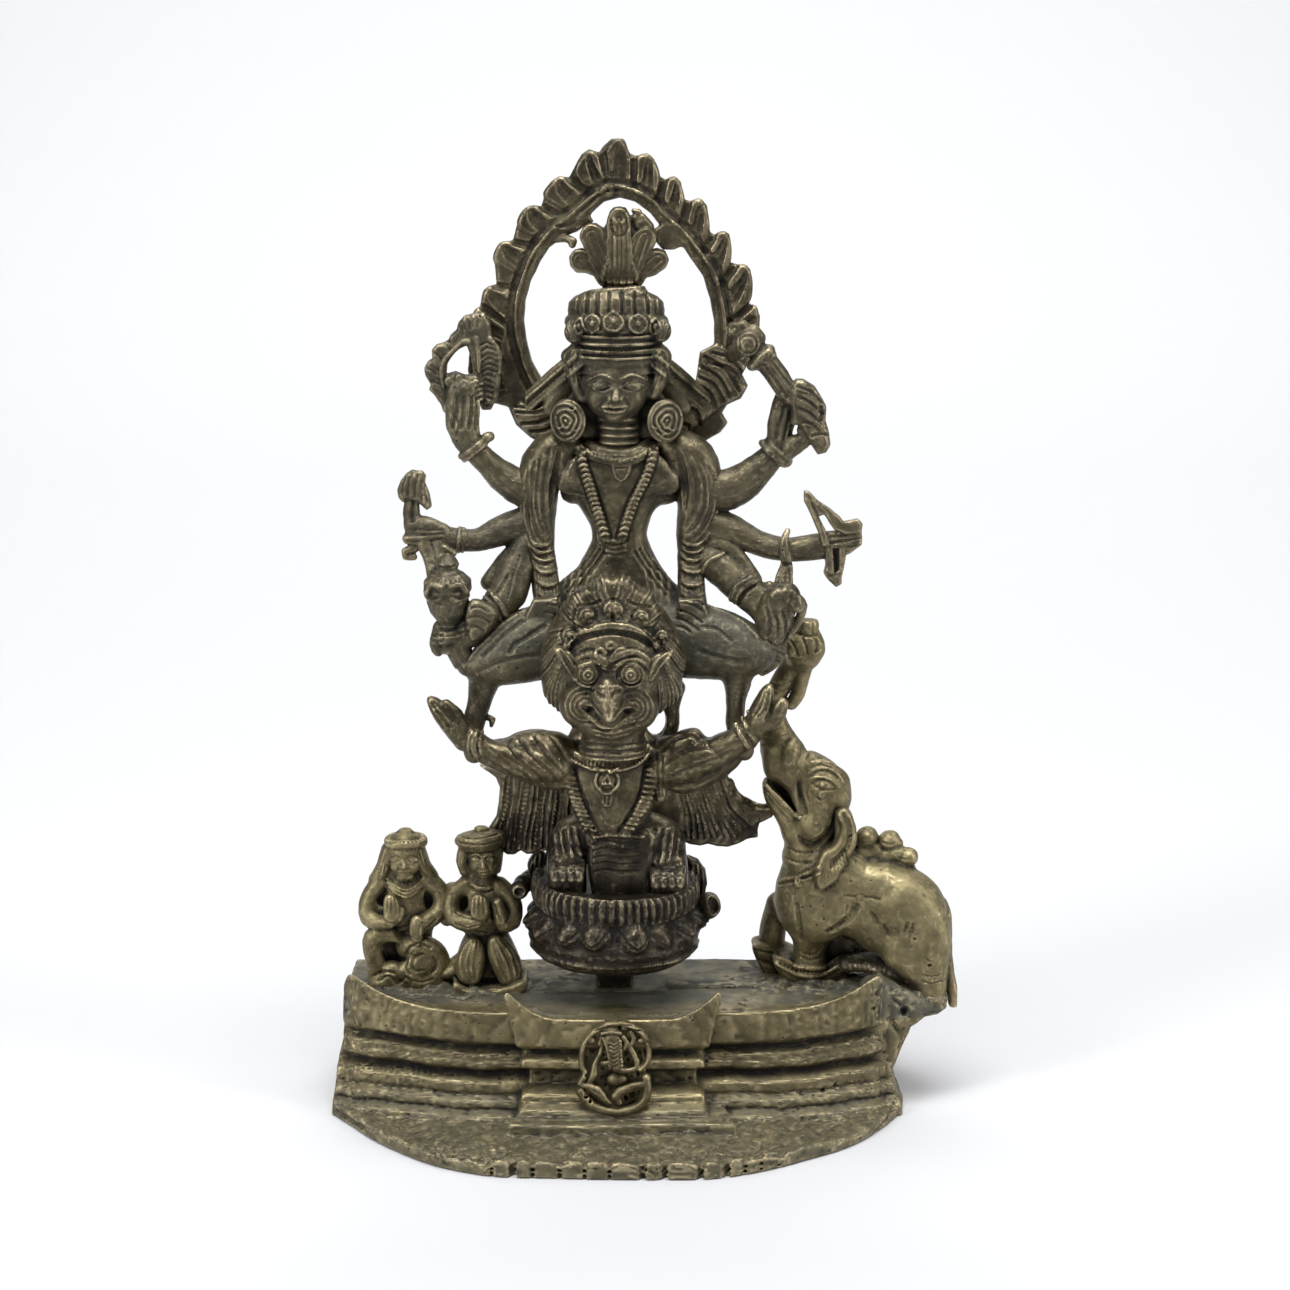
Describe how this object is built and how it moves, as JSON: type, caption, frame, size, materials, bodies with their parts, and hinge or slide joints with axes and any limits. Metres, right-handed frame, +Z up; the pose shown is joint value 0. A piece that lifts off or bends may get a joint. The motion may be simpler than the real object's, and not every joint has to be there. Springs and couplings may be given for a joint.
{
  "type": "cast metal deity group figurine",
  "caption": "Cast figure of eight-armed Vishnu riding Garuda before a flame-edged aureole, on a stepped plinth with kneeling donors, an elephant and a moon-shaped apron.",
  "frame": {"origin": "middle of the underside of the bounding box, at the level the figure stands on", "axes": "+Z up, the front of the figure faces -Y, +X to the right as seen from the front"},
  "size_m": [0.1168, 0.06, 0.1782],
  "materials": {
    "bronze": "dark olive-brown patina, worn to pale metal on the edges",
    "brass": "dull yellow with a grey deck and dark grooves, rubbed on the edges"
  },
  "bodies": {
    "root": {"figure_group": "bronze", "plinth": "brass"}
  },
  "joints": []
}
